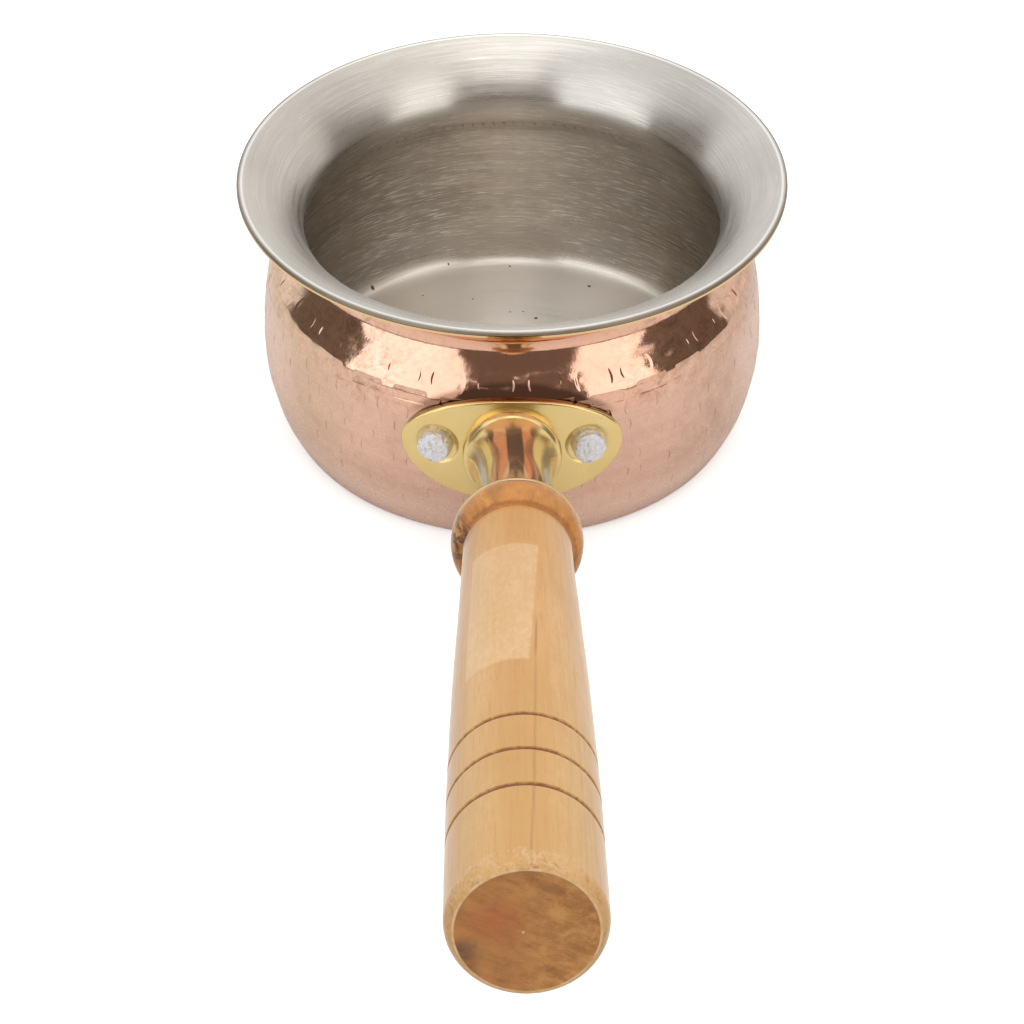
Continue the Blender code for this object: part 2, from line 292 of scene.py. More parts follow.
class Graph:
    """Builds a node tree call by call. A value given as a Wire is linked, any other is set."""

    def __init__(self, tree):
        self.tree = tree
        tree.nodes.clear()

    def put(self, socket, value):
        if isinstance(value, Wire):
            self.tree.links.new(value.socket, socket)
        elif isinstance(value, tuple) and len(value) == 3 and socket.type == "RGBA":
            socket.default_value = (*value, 1)
        else:
            socket.default_value = value

    def node(self, kind, *values, **settings):
        made = self.tree.nodes.new("ShaderNode" + kind)
        for name, value in settings.items():
            setattr(made, name, value)
        for i, value in enumerate(values):
            self.put(made.inputs[i], value)
        return made

    def fill(self, made, **inputs):
        """Gives values to a node's inputs by their names, with _ for each space."""
        for name, value in inputs.items():
            self.put(made.inputs[name.replace("_", " ")], value)

    def output(self, kind, *values, socket=0, **settings):
        return Wire(self, self.node(kind, *values, **settings).outputs[socket])

    def math(self, operation, *values):
        return self.output("Math", *values, operation=operation)

    def vector(self, x, y, z):
        return self.output("CombineXYZ", x, y, z)

    def noise(self, vector, scale, detail=2.0, roughness=0.5, distortion=0.0):
        made = self.node("TexNoise", noise_dimensions="3D")
        self.fill(made, Vector=vector, Scale=scale, Detail=detail)
        self.fill(made, Roughness=roughness, Distortion=distortion)
        return Wire(self, made.outputs["Fac"])

    def cells(self, vector, scale):
        made = self.node("TexVoronoi")
        self.fill(made, Vector=vector, Scale=scale)
        return Wire(self, made.outputs["Distance"])

    def spots(self, vector, scale, size, share, dimensions="3D"):
        """Round spots in a share of the cells."""
        made = self.node("TexVoronoi", voronoi_dimensions=dimensions)
        self.fill(made, Vector=vector, Scale=scale)
        chosen = Wire(self, made.outputs["Color"]).split()[0]
        spot = Wire(self, made.outputs["Distance"]).step(size, size * 0.5)
        return spot * chosen.step(1 - share, 1.001 - share)

    def mix(self, share, a, b):
        made = self.node("Mix", data_type="RGBA")
        self.fill(made, Factor=share, A=a, B=b)
        return Wire(self, made.outputs["Result"])

    def ramp(self, value, *stops):
        made = self.node("ValToRGB", value)
        elements = made.color_ramp.elements
        while len(elements) < len(stops):
            elements.new(1)
        for element, (place, colour) in zip(elements, stops):
            element.position = place
            element.color = (*colour, 1)
        return Wire(self, made.outputs["Color"])

    def bump(self, height, distance, strength=1.0):
        made = self.node("Bump")
        self.fill(made, Height=height, Distance=distance, Strength=strength)
        return Wire(self, made.outputs["Normal"])

    def object_place(self):
        return self.output("TexCoord", socket="Object")

    def attribute(self, name):
        return self.output("Attribute", socket="Fac", attribute_name=name)

    def degrees(self, x, y):
        """Angle from the Y axis towards X."""
        return self.math("ARCTAN2", x, y) * (180 / math.pi)

    def camera_ray(self):
        """1 where the camera looks itself, 0 for light and reflections."""
        return self.output("LightPath", socket="Is Camera Ray")

    def around(self, x, y):
        """Two coordinates of the direction from the Z axis, which don't jump on the way round."""
        flat = self.output("VectorMath", self.vector(x, y, 0), operation="NORMALIZE")
        return flat.split()[:2]

    def brushed(self, around, arc, along, across, detail, roughness):
        """Noise that is drawn out along the turning direction."""
        rx, ry = around
        return self.noise(self.vector(rx * along, ry * along, arc * across), 1, detail, roughness)


class Look(Graph):
    """A material with one Principled shader. Constants go straight onto the shader's sockets."""

    def __init__(self, name, metallic=1.0, **constants):
        self.material = bpy.data.materials.new(name)
        self.material.use_nodes = True
        super().__init__(self.material.node_tree)
        self.shader = self.node("BsdfPrincipled")
        self.fill(self.shader, Metallic=metallic, **constants)
        surface = self.node("OutputMaterial").inputs["Surface"]
        self.tree.links.new(self.shader.outputs[0], surface)

    def paint(self, colour, roughness, normal):
        self.fill(self.shader, Base_Color=colour, Roughness=roughness, Normal=normal)
        return self.material


def copper_look():
    look = Look("hammered_copper")
    place = look.object_place()
    x, y, z = place.split()
    arc = look.attribute("arc")
    around = look.around(x, y)
    streaks = look.brushed(around, arc, 6, 1100, 4, 0.65)
    fine = look.brushed(around, arc, 60, 2600, 2, 0.6)
    cloud = look.noise(place.scaled(38, 38, 60), 1, 4, 0.6, 0.4)
    haze = look.brushed(around, arc, 14, 260, 4, 0.7)
    satin = z.step(0.0372, 0.0308)
    colour = look.mix(cloud.step(0.35, 0.7), (0.88, 0.505, 0.36), (0.93, 0.585, 0.44))
    dull = look.mix(cloud.step(0.3, 0.68), (0.735, 0.48, 0.372), (0.875, 0.56, 0.435))
    dull = look.mix(streaks.step(0.38, 0.68, 0, 0.5), dull, (0.8, 0.545, 0.445))
    colour = look.mix(satin * 0.9, colour, dull)
    smudge = look.noise(place.scaled(700, 700, 900), 1, 5, 0.75, 0.5)
    smudge = smudge * cloud.step(0.3, 0.65, 0.85, 1.1)
    smudge = smudge.step(0.44, 0.66, 0, 0.26) * satin.step(1, 0)
    colour = look.mix(smudge, colour, (0.54, 0.305, 0.21))
    wedge = abs(x).step(0.018, 0.03) * satin.step(1, 0)
    mottled = look.noise(place.scaled(330, 330, 420), 1, 5, 0.75, 0.8)
    colour = look.mix(wedge * mottled.step(0.5, 0.38, 0, 0.45), colour, (0.96, 0.72, 0.56))
    colour = look.mix(wedge * mottled.step(0.5, 0.64, 0, 0.6), colour, (0.42, 0.245, 0.16))
    # Painted reflection tones: a golden haze on the left flank and a browner one on the right. Then
    # brown smears.
    flank = abs(x).step(0.028, 0.046) * haze.step(0.3, 0.65, 0.4, 0.9)
    flank = flank * 0.8
    painted_flank_tints = look.mix(x.step(-0.01, 0.01), (0.7, 0.52, 0.36), (0.57, 0.385, 0.285))
    colour = look.mix(flank, colour, painted_flank_tints)
    colour = look.mix(haze.step(0.5, 0.78, 0, 0.45), colour, (0.62, 0.36, 0.25))
    # Painted light: the satin copper is paler low down, for the bright table it reflects, and at
    # both far sides, a painted brightening at grazing angles.
    low = z.step(0.016, 0.006) | abs(x).step(0.044, 0.054)
    colour = look.mix(low * satin * 0.75, colour, (0.96, 0.7, 0.58))
    # Painted shade: darker on the steep edges of the hammer marks.
    painted_mark_shade = look.attribute("painted_mark_shade").step(0.12, 0.5)
    colour = look.mix(painted_mark_shade * (satin * 0.5 + 0.2), colour, (0.42, 0.2, 0.12))
    colour = look.mix(look.spots(place, 150, 0.07, 0.025) * 0.7, colour, (0.25, 0.12, 0.08))
    # Painted shadow: a dark band on the copper along the plate's upper edge.
    radius = 0.0545
    along = look.math("ARCTAN2", x, y * -1) * radius - MOUNT_TURN * radius
    across = abs(along * (1 / PLATE_WIDTH)) ** 2
    upward = abs((z - PLATE_MIDDLE) * (1 / PLATE_HEIGHT)) ** 2
    from_plate = look.math("SQRT", across + upward)
    painted_plate_shadow = from_plate.step(1.13, 1.04) * z.step(PLATE_MIDDLE + 0.004, PLATE_MIDDLE + 0.009)
    colour = look.mix(painted_plate_shadow * 0.7, colour, (0.2, 0.1, 0.06))
    # A painted highlight: a golden line along the copper's edge under the rim, with a dark seam
    # above it.
    colour = look.mix(arc.step(0.0014, 0.0009), colour, (0.86, 0.62, 0.32))
    colour = look.mix(arc.step(0.00018, 0.00008), colour, (0.16, 0.09, 0.05))
    rough = satin * 0.19 + haze.step(0.35, 0.8, 0.05, 0.17)
    rough = rough + fine.step(0.35, 0.7) * (satin * 0.07 + 0.02)
    lines = streaks * (satin * 0.8 + 0.22) + fine * (satin * 0.18 + 0.1)
    lines = lines + satin.step(1, 0) * (haze * 0.9)
    return look.paint(colour, rough, look.bump(lines, 0.00005, 0.6))


def steel_look():
    look = Look("brushed_steel_lining", Anisotropic=0.94, Anisotropic_Rotation=0.25)
    look.fill(look.shader, Tangent=look.output("Tangent", direction_type="RADIAL", axis="Z"))
    place = look.object_place()
    x, y, z = place.split()
    arc = look.attribute("arc")
    around = look.around(x, y)
    broad = look.brushed(around, arc, 0.7, 420, 3, 0.6)
    lines = look.brushed(around, arc, 2.4, 3800, 3, 0.65)
    short = look.brushed(around, arc, 11, 5200, 2, 0.5)
    wall = z.within(0.004, 0.048, 0.002)
    patches = look.brushed(around, arc, 1.5, 90, 2, 0.5)
    scratch = (short + patches * 0.25).step(0.71, 0.8) * (wall * 0.8 + 0.2)
    cloud = look.noise(place, 34, 3, 0.5)
    colour = look.mix(cloud.step(0.3, 0.72), (0.605, 0.57, 0.525), (0.695, 0.665, 0.62))
    colour = look.mix(lines.step(0.34, 0.66, 0, 0.24), colour, (0.5, 0.465, 0.42))
    # Warmer and a little stained inside.
    colour = look.mix(wall * cloud.step(0.25, 0.7, 0.2, 0.7), colour, (0.66, 0.575, 0.48))
    stains = look.brushed(around, arc, 2.2, 130, 4, 0.65)
    colour = look.mix(wall * stains.step(0.42, 0.7, 0, 0.5), colour, (0.4, 0.35, 0.3))
    turned = look.degrees(x, y)
    # Painted reflection: two darker upright zones on the wall, one each side of the middle.
    painted_wall_reflections = turned.within(14, 41, 5) | turned.within(-47, -17, 6)
    colour = look.mix(wall * painted_wall_reflections * 0.44, colour, (0.36, 0.32, 0.28))
    colour = look.mix(z.step(0.006, 0.003, 0, 0.75), colour, (0.875, 0.805, 0.72))
    colour = look.mix(scratch * 0.75, colour, (1.0, 0.98, 0.94))
    pits = look.spots(place, 150, 0.085, 0.14, "2D") | look.spots(place, 330, 0.1, 0.05, "2D")
    colour = look.mix(pits * z.step(0.0062, 0.0036, 0, 0.92), colour, (0.06, 0.045, 0.035))
    # Painted shade: a row of small dark ticks under the throat, where the hammer marks end.
    beats = look.math("SINE", look.math("ARCTAN2", x, y) * 126 + z * 700)
    uneven = look.brushed(around, z, 30, 160, 2, 0.6)
    ticks = z.within(0.0424, 0.0441, 0.0005) * (beats + uneven * 2.4).step(1.85, 2.3)
    colour = look.mix(ticks * 0.62, colour, (0.13, 0.1, 0.08))
    # Painted highlight: a bright line along the top of the lip. Below it the lip's outer side is
    # darker and rougher, the steel's cut edge with painted shade in its colour.
    lip = look.attribute("edge")
    colour = look.mix(lip.within(0.1, 0.3, 0.08), colour, (0.95, 0.94, 0.92))
    edge = lip.step(0.3, 0.62)
    colour = look.mix(edge, colour, (0.36, 0.30, 0.235))
    rough = broad.step(0.25, 0.75, 0.26, 0.34) + z.step(0.0024, 0.0017, 0, 0.14)
    rough = rough + lines.step(0.35, 0.7, -0.03, 0.06)
    rough = rough + edge * 0.2
    height = lines * 0.8 + (broad * 0.5 + scratch * -0.4)
    return look.paint(colour, rough, look.bump(height, 0.00004, 0.5))


def brass_look(name, base, tint, rough, brushed, rim=None, tube=None):
    look = Look(name, metallic=0.87 if tube else 1.0)
    place = look.object_place()
    cloud = look.noise(place, 160, 3, 0.55)
    lines = look.noise(place.scaled(260, 260, 2600), 1, 3, 0.6)
    colour = look.mix(cloud.step(0.3, 0.75), base, tint)
    uneven = cloud.step(0.3, 0.8, rough, rough * 1.35) + lines.step(0.3, 0.7, 0, brushed * 0.1)
    # The rim colour is painted light: shade on the plate's side next to the copper, a highlight on
    # the washer's edge.
    if rim:
        colour = look.mix(look.attribute("rim"), colour, rim)
    if tube:
        # Past the collar, the tube is browner and more polished. Its upper side there is duller and
        # greener, a painted tone for the copper's reflection.
        _, up, out = place.split()
        past = out.step(0.0068, 0.0105)
        tarnish_and_painted_top = look.mix(up.step(0.003, 0.0055), tube, (0.47, 0.415, 0.27))
        lighter = tuple(channel * 1.15 for channel in tube)
        polished = look.mix(up.step(0.003, 0.0055), lighter, (0.54, 0.475, 0.31))
        colour = look.mix(past, colour, look.mix(cloud.step(0.25, 0.7), tarnish_and_painted_top, polished))
        uneven = uneven + past * -0.115
    tiny = look.noise(place, 2400, 2, 0.5)
    height = lines * brushed + tiny * 0.25
    return look.paint(colour, uneven, look.bump(height, 0.00003, 0.35))


def rivet_look():
    look = Look("hammered_aluminium")
    place = look.object_place()
    pocks = look.cells(place, 1500)
    grain = look.noise(place, 1900, 4, 0.65)
    colour = look.mix(grain.step(0.35, 0.7), (0.76, 0.76, 0.79), (0.95, 0.95, 0.97))
    dirty = look.noise(place, 900, 2).step(0.62, 0.72, 0, 0.8)
    colour = look.mix(dirty, colour, (0.46, 0.46, 0.46))
    height = pocks * 0.8 + grain * 0.7
    return look.paint(colour, grain.step(0.3, 0.7, 0.48, 0.66), look.bump(height, 0.00016, 0.8))


def zinc_look():
    look = Look("zinc_plated_steel")
    place = look.object_place()
    spangle = look.cells(place, 900)
    colour = look.mix(spangle.step(0.1, 0.6), (0.5, 0.51, 0.54), (0.62, 0.63, 0.64))
    thread = look.math("SINE", place.split()[1] * 8000)
    return look.paint(colour, spangle.step(0, 0.6, 0.28, 0.42), look.bump(thread, 0.0002, 0.5))


def wood_look():
    look = Look(
        "turned_beech", metallic=0.0,
        Specular_IOR_Level=0.38, Sheen_Weight=0.74, Sheen_Roughness=0.3,
    )
    place = look.object_place()
    x, y, q = place.split()
    side = look.degrees(x, y)
    sway = look.noise(place.scaled(45, 45, 9), 1, 3, 0.5)
    # Growth layers are nearly flat sheets along the handle, tilted a little across it.
    layer = x * 420 + y * 250 + (q * 6.0 + sway * 3.4)
    rings = look.math("SINE", layer)
    fibre = look.noise(place.scaled(1500, 1500, 45), 1, 3, 0.6)
    flecks = look.noise(place.scaled(2600, 2600, 190), 1, 1, 0.5)
    cloud = look.noise(place.scaled(75, 75, 22), 1, 3, 0.55)
    wide = look.noise(place.scaled(40, 40, 12), 1, 2, 0.5)
    colour = look.ramp(
        rings * 0.15 + (cloud * 0.7 + 0.13),
        (0.15, (0.47, 0.225, 0.07)), (0.45, (0.585, 0.305, 0.11)),
        (0.62, (0.64, 0.365, 0.15)), (0.9, (0.7, 0.45, 0.215)),
    )
    colour = look.mix(wide.step(0.45, 0.75, 0, 0.35), colour, (0.6, 0.275, 0.105))
    colour = look.mix(fibre.step(0.46, 0.74, 0, 0.42), colour, (0.46, 0.225, 0.075))
    colour = look.mix(flecks.step(0.62, 0.72, 0, 0.28), colour, (0.34, 0.15, 0.06))
    mottle = look.noise(place.scaled(900, 900, 420), 1, 3, 0.7)
    colour = look.mix(mottle.step(0.34, 0.68, 0, 0.42), colour, (0.5, 0.31, 0.105))
    olive = look.noise(place.scaled(95, 95, 40), 1, 3, 0.6, 0.6)
    colour = look.mix(olive.step(0.48, 0.74, 0, 0.5), colour, (0.49, 0.28, 0.085))
    colour = look.mix(q.step(0.105, 0.155, 0.09, 0.36), colour, (0.47, 0.285, 0.1))
    # A paler patch of bare wood on the near top, left where a label was.
    uneven = (wide - 0.5) * 3
    torn = (mottle - 0.5) * 3.0
    patch = (side + torn).step(-52.0, -50.4) * (side + torn + q * 300).step(39.5, 36.8)
    patch = patch * (q.step(0.063, 0.064) * q.step(0.1087, 0.1075))
    patch = patch * mottle.step(0.3, 0.62, 1.0, 0.6)
    patch = patch * 0.72
    bare = look.mix((cloud + uneven).step(0.3, 0.8), (0.69, 0.475, 0.27), (0.63, 0.415, 0.215))
    colour = look.mix(patch, colour, bare)
    # A dark line of grain that runs the length of the top.
    drift = side + q * 165 + (sway - 0.5) * 9
    strong = q.within(0.0935, 0.1055, 0.003) * 0.75
    faint = q.step(0.098, 0.112) * flecks.step(0.3, 0.62, 0.1, 0.42)
    line = drift.within(28.3, 29.6, 1.2) * (strong | faint)
    colour = look.mix(line, colour, (0.19, 0.085, 0.035))
    # The flange is darker towards the neck, painted shade, with a knot on its left.
    flange = q.step(0.049, 0.0466)
    painted_flange_shade = flange * mottle.step(0.3, 0.7, 0.72, 0.95)
    browns = look.mix(olive.step(0.35, 0.65), (0.55, 0.225, 0.046), (0.43, 0.167, 0.037))
    colour = look.mix(painted_flange_shade, colour, browns)
    knot = look.noise(place.scaled(420, 420, 300), 1, 4, 0.65, 0.6)
    smears = look.noise(place.scaled(300, 300, 160), 1, 5, 0.7, 0.7)
    colour = look.mix(flange * smears.step(0.5, 0.66, 0, 0.5), colour, (0.27, 0.125, 0.045))
    colour = look.mix(flange * smears.step(0.48, 0.34, 0, 0.45), colour, (0.66, 0.34, 0.1))
    dark_side = side.within(-98, -58, 12) * q.step(0.0515, 0.0475)
    colour = look.mix(dark_side * knot.step(0.42, 0.54), colour, (0.07, 0.035, 0.02))
    # Burnt grooves, and a darkened neck.
    burnt = None
    wavy = q + (mottle - 0.5) * 0.0007
    for middle in GROOVES:
        band = wavy.within(middle - 0.00046, middle + 0.0003, 0.0002)
        burnt = band if burnt is None else burnt | band
    neck = wavy.within(0.0468, 0.0472, 0.0003)
    burnt = burnt * mottle.step(0.3, 0.7, 1.0, 0.8) | neck * 0.5
    colour = look.mix(burnt, colour, (0.16, 0.040, 0.008))
    # Worn fibres just before the end, and the darker end grain.
    radius = look.math("SQRT", x * x + y * y)
    rough_edge = q + (knot - 0.5) * 0.005
    away = abs(side + 14)
    ragged = look.noise(place.scaled(260, 260, 420), 1, 4, 0.7, 0.5)
    worn = rough_edge.within(0.1655, 0.1692, 0.0006) * away.step(80, 36, 0.15, 1.0)
    worn = worn * ragged.step(0.4, 0.52, 0.25, 1.0)
    specks = look.noise(place.scaled(1900, 1900, 900), 1, 4, 0.8, 0.3)
    colour = look.mix(worn * specks.step(0.4, 0.6, 0.1, 0.75), colour, (0.6, 0.405, 0.235))
    colour = look.mix(worn * specks.step(0.44, 0.34, 0, 0.45), colour, (0.33, 0.16, 0.055))
    chips = rough_edge.within(0.1678, 0.1712, 0.0005) * ragged.step(0.56, 0.64, 0, 0.7)
    colour = look.mix(chips, colour, (0.36, 0.17, 0.055))
    end = q.step(HANDLE_END - 0.0005, HANDLE_END - 0.0002) * radius.step(0.01128, 0.01116)
    # Diagonal grain across the end.
    across = x * 0.42 + y * 0.91
    down = x * 0.91 + y * -0.42
    end_grain = look.noise(look.vector(down * 120, across * 620, 0.0), 1, 4, 0.6, 0.3)
    end_cloud = look.noise(look.vector(x * 170, y * 240, 3.0), 1, 4, 0.6)
    pores = look.noise(look.vector(x * 2600, y * 2600, 0.0), 1, 2, 0.6)
    end_colour = look.ramp(
        end_grain * 0.42 + (end_cloud * 0.45 + pores * 0.18),
        (0.25, (0.15, 0.055, 0.018)), (0.42, (0.275, 0.11, 0.032)),
        (0.56, (0.4, 0.18, 0.052)), (0.75, (0.52, 0.26, 0.08)),
    )
    hues = look.noise(look.vector(x * 330, y * 420, 7.0), 1, 5, 0.7, 0.4)
    reddish = hues.step(0.46, 0.64, 0, 0.55)
    sides = look.mix(x.step(-0.006, 0.006), (0.43, 0.165, 0.045), (0.56, 0.285, 0.085))
    end_colour = look.mix(reddish, end_colour, sides)
    end_colour = look.mix(hues.step(0.44, 0.3, 0, 0.5), end_colour, (0.21, 0.095, 0.04))
    red = x.within(-0.008, -0.0015, 0.0035) * y.within(-0.001, 0.005, 0.0035)
    red = red * end_cloud.step(0.25, 0.65, 0.35, 0.85)
    end_colour = look.mix(red, end_colour, (0.38, 0.105, 0.032))
    corner = x.step(-0.006, -0.01) * y.step(0.0, -0.0035)
    corner = corner * end_cloud.step(0.35, 0.6, 0.2, 0.85)
    end_colour = look.mix(corner, end_colour, (0.1, 0.05, 0.03))
    end_colour = look.mix(pores.step(0.56, 0.7, 0, 0.35), end_colour, (0.2, 0.09, 0.04))
    centre = look.math("SQRT", (x + 0.0006) ** 2 + (y + 0.0002) ** 2)
    end_colour = look.mix(centre.step(0.0003, 0.00008, 0, 0.7), end_colour, (0.72, 0.55, 0.38))
    colour = look.mix(end, colour, end_colour)
    rim = q.step(HANDLE_END - 0.001, HANDLE_END - 0.0006)
    rim = rim * radius.within(0.01122, 0.0116, 0.0001)
    colour = look.mix(rim * ragged.step(0.35, 0.62, 0.0, 0.6), colour, (0.72, 0.53, 0.34))
    rough = fibre.step(0.3, 0.7, 0.4, 0.52) + (end | worn) * 0.22
    height = fibre * 0.5 + flecks * 0.5
    height = height + (worn | end * 0.6) * (pores + knot)
    return look.paint(colour, rough, look.bump(height, 0.00009, 0.5))


# ---------------------------------------------------------------- the pot

def dents(outline, arcs, columns):
    """Depth of the hammer marks: rows of flat rectangles that get weaker down the belly."""
    angle = (np.arange(columns) / columns * 360)[None]
    # Height of each row, where its first gap is, how deep it is, and how soft its long edges are.
    rows = (
        (0.0419, 1.7, 0.9, 0.0023), (0.0377, 4.2, 1.0, 0.0006), (0.0338, 0.6, 0.8, 0.0012),
        (0.0298, 5.4, 0.65, 0.0015), (0.0257, 2.6, 0.6, 0.0015), (0.0216, 8.0, 0.6, 0.0015),
        (0.0175, 4.9, 0.6, 0.0015), (0.0134, 1.3, 0.55, 0.0015), (0.0094, 6.6, 0.5, 0.0015),
    )
    pitch = 360 / MARKS_IN_A_ROW
    random = np.random.RandomState(11)
    depth = np.zeros((len(arcs), columns))
    lower = outline[:, 1] < THROAT[1]
    for height, phase, strength, soft in rows:
        middle = np.interp(-height, -outline[lower, 1], arcs[lower])
        radius = np.interp(-height, -outline[lower, 1], outline[lower, 0])
        near = np.abs(arcs - middle) < 0.004
        for k in range(MARKS_IN_A_ROW):
            centre = phase + (k + 0.5) * pitch + random.uniform(-0.5, 0.5)
            half_angle = pitch / 2 - MARK_GAP + random.uniform(-0.35, 0.25)
            half = half_angle * math.pi / 180 * radius
            tall = MARK_HEIGHT * random.uniform(0.85, 1.15)
            force = strength * random.uniform(0.55, 1.15) * (random.uniform() > 0.08)
            lean = random.uniform(-0.05, 0.05)
            shift = random.uniform(-0.0003, 0.0003)
            across = (np.mod(angle - centre + 180, 360) - 180) * math.pi / 180 * radius
            cols = np.abs(across[0]) < half + 0.001
            u = across[:, cols]
            v = arcs[near][:, None] - middle - shift - lean * u
            # The ends of a mark are bowed, as the edge of a round-faced hammer leaves them.
            ends = smooth(half + 0.00020, half - 0.00020, np.abs(u) + 0.00022 * (v / tall) ** 2)
            sides = smooth(tall + soft / 2, tall - soft / 2, np.abs(v))
            here = np.ix_(near, cols)
            depth[here] = np.maximum(depth[here], force * ends * sides)
    return depth


def fade(outline, low, high):
    """1 on the lower wall between the heights, 0 above and below."""
    radius, height = outline.T
    throat = np.argmin(np.where(height > 0.030, radius, 1))
    after_throat = np.arange(len(outline)) > throat
    from_below = smooth(low - 0.002, low + 0.002, height)
    from_above = smooth(high + 0.0022, high - 0.001, height)
    return (from_below * from_above * after_throat)[:, None]


def make_copper():
    wall = wall_outline()
    full = arc_of(wall)
    lower = slice(81, None)
    top, fine_end = np.interp((-0.0452, -0.0060), -wall[lower, 1], full[lower])
    arcs = np.r_[
        np.linspace(0, top, 40)[:-1],
        np.linspace(top, fine_end, 150)[:-1],
        np.linspace(fine_end, full[-1], 16),
    ]
    outline = resample(wall, arcs)
    columns = COPPER_COLUMNS
    turned = (np.arange(columns) / columns)[None]
    v = (arcs / arcs[-1])[:, None]
    normal = outward(outline)
    belly = fade(outline, 0.0040, 0.0430)
    waves = ripple(turned, v, 32, 16, 3) * 0.00007
    waves = waves + ripple(turned, v, 64, 26, 4) * 0.00005
    waves = waves + ripple(turned, v, 150, 60, 5) * 0.000014
    marks = dents(outline, arcs, columns) * belly
    move = -marks * MARK_DEPTH + waves * (0.25 + 0.75 * belly)
    move = move * smooth(0, 0.004, arcs)[:, None]
    slope = 0.00025 * np.hypot(
        (np.roll(marks, -1, 1) - np.roll(marks, 1, 1)) / 0.00035, np.gradient(marks, arcs, axis=0)
    )
    rings = turn(outline, columns, move * normal[:, :1], move * normal[:, 1:])
    # Underside, then the hidden inner side back up to the rim.
    inner = (wall - outward(wall) * COPPER)[::8][::-1]
    radii = np.array((0.047, 0.030, 0.012))
    floor = np.c_[radii, np.zeros(3)]
    floor_in = np.c_[radii[::-1], np.full(3, COPPER)]
    back = turn(np.vstack([floor, floor_in, inner]), columns)
    piece = revolved("copper_shell", np.vstack([rings, back]), closed=True, sharp=50)
    hidden = np.full(len(back), arcs[-1])
    hidden[-1] = 0
    store(piece, "arc", np.repeat(np.r_[np.maximum(arcs, 0.0006), hidden], columns))
    # The slope of the hammer marks, which drives their painted shade.
    store(piece, "painted_mark_shade", slope)
    finish_piece(piece, copper_look(), "copper_outer_body")


def make_liner():
    wall = wall_outline()
    inner = wall - outward(wall) * LIP
    outer = wall - outward(wall) * (COPPER + 0.00006)
    # Round the corner between wall and floor, then run level to the middle.
    inner = inner[inner[:, 1] > 0.0042]
    corner = inner[-1]
    floor_start = (corner[0] - 0.0052, LIP)
    fillet = bezier(corner, corner + (-0.0008, -0.0018), (corner[0] - 0.0026, LIP), floor_start, 18)
    level = [(radius, LIP) for radius in np.linspace(corner[0] - 0.0062, 0.0006, 60)]
    rows = np.vstack([inner, fillet, level])
    full = arc_of(rows)
    inner_arcs = np.linspace(0, full[-1], 300)
    rows = resample(rows, inner_arcs)
    columns = LINER_COLUMNS
    turned = (np.arange(columns) / columns)[None]
    v = (inner_arcs / full[-1])[:, None]
    below_throat = (inner_arcs > 0.014) & (inner_arcs < 0.062)
    waves = ripple(turned, v, 20, 26, 21) * 0.00005 + ripple(turned, v, 60, 40, 22) * 0.000018
    waves = waves * (0.15 + 0.85 * below_throat[:, None])
    # The hammer marks show through.
    bumps = dents(rows, inner_arcs, columns) * fade(rows, 0.0230, 0.0430)
    move = waves + bumps * LINER_MARK_DEPTH
    normal = -outward(rows)
    inside = turn(rows, columns, move * normal[:, :1], move * normal[:, 1:])[::-1]
    # The lip: a rounded edge of steel down to the copper's rim.
    top, bottom = rows[0], outer[0] + (0.00010, 0.00002)
    edge_x = RIM[0] + 0.00002
    inside, inner_arcs = inside[:-4], inner_arcs[4:]
    start, ahead = rows[4], rows[3] - rows[5]
    ahead = ahead / np.hypot(*ahead)
    lip = bezier(
        start, start + ahead * 0.0009, (edge_x - 0.00004, top[1] + 0.00006),
        (edge_x, top[1] - 0.00055), 13,
    )[1:]
    hidden_floor = [(radius, COPPER + 0.00006) for radius in (0.030, 0.001)]
    outside = turn(
        np.vstack([lip, (edge_x, bottom[1] + 0.00016), bottom, outer[1::6], hidden_floor]), columns
    )
    piece = revolved("steel_lining", np.vstack([inside, outside]))
    arcs = np.r_[inner_arcs[::-1], np.zeros(len(outside))]
    edge = np.r_[np.zeros(len(inner_arcs)), np.linspace(0.08, 0.92, 12), np.ones(len(outside) - 12)]
    # The two points at the end close the first and the last ring.
    store(piece, "arc", np.r_[np.repeat(arcs, columns), inner_arcs[-1], 0])
    store(piece, "edge", np.r_[np.repeat(edge, columns), 0, 1])
    finish_piece(piece, steel_look(), "steel_inner_liner")


# ---------------------------------------------------------------- brass mount and rivets

LOWER = wall_outline()[80:]


def on_wall(side, height, lift):
    """Points lifted off the copper, at a distance to the side along the wall and a height.

    The plate is stiffer than the wall, so the top of its front curls in less than the copper."""
    radius = np.interp(-height, -LOWER[:, 1], LOWER[:, 0])
    straight = SHOULDER[0] + (SHOULDER[1] - height) * math.tan(SHOULDER_LEAN)
    flatter = 0.75 * smooth(0.0004, 0.0015, lift)
    radius = np.where(height > SHOULDER[1], radius + (straight - radius) * flatter, radius)
    normal = outward(LOWER)
    shown = np.minimum(height, 0.0382)
    nr = np.interp(-shown, -LOWER[:, 1], normal[:, 0])
    nz = np.interp(-shown, -LOWER[:, 1], normal[:, 1])
    angle = np.arcsin(np.clip(side / radius, -1, 1)) + MOUNT_TURN
    out = radius + lift * nr
    return np.stack([out * np.sin(angle), -out * np.cos(angle), height + lift * nz], -1)


